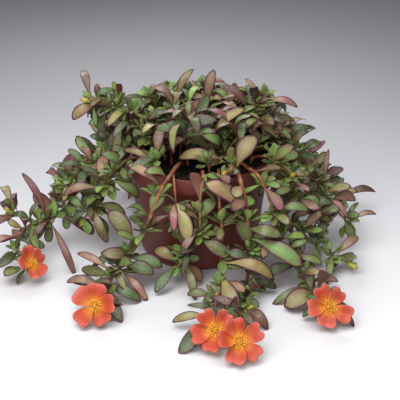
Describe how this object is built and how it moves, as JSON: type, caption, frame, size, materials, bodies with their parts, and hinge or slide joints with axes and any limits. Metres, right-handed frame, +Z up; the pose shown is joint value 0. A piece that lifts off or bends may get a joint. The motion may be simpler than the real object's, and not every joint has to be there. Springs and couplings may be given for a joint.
{
  "type": "portulaca plant in a pot",
  "caption": "Trailing portulaca with flat succulent leaves, reddish stems, buds and coral-red five-petalled blooms, planted in a round plastic nursery pot of potting mix.",
  "frame": {"origin": "middle of the pot's flat foot, on the surface that the pot stands on", "axes": "+Z up, -Y towards the front with most of the blooms, +X to the viewer's right"},
  "size_m": [0.3016, 0.3505, 0.1533],
  "materials": {
    "pot_plastic": "semi-matte moulded plastic",
    "potting_mix": "crumbly and matte",
    "foliage": "waxy leaf",
    "stem": "waxy red-brown stem",
    "bud": "waxy bud",
    "petal": "silky petal",
    "stamen": "matte pollen"
  },
  "bodies": {
    "root": {"pot": "pot_plastic", "potting_mix": "potting_mix", "bloom_west_petals": "petal", "bloom_west_stamens": "stamen", "bloom_south_west_petals": "petal", "bloom_south_west_stamens": "stamen", "bloom_south_petals": "petal", "bloom_south_stamens": "stamen", "bloom_south_front_petals": "petal", "bloom_south_front_stamens": "stamen", "bloom_south_east_petals": "petal", "bloom_south_east_stamens": "stamen", "front_left": "foliage", "front_mid": "foliage", "front_centre": "foliage", "front_right": "foliage", "right_front": "foliage", "right_low": "foliage", "right_high": "foliage", "right_mid": "foliage", "top_right": "foliage", "top_left": "foliage", "left_upper": "foliage", "left_low": "foliage", "left_far": "foliage", "crown_west": "foliage", "crown_north_west": "foliage", "crown_middle": "foliage", "crown_bud": "foliage", "crown_east": "foliage", "crown_south_east": "foliage", "rim_west_tuft": "foliage", "rim_front_tuft": "foliage", "rim_far_west_tuft": "foliage", "rim_east_tuft": "foliage", "west_mid": "foliage", "crown_north": "foliage", "back_left": "foliage", "back_middle": "foliage", "back_right": "foliage", "right_back": "foliage", "left_back": "foliage"}
  },
  "joints": []
}
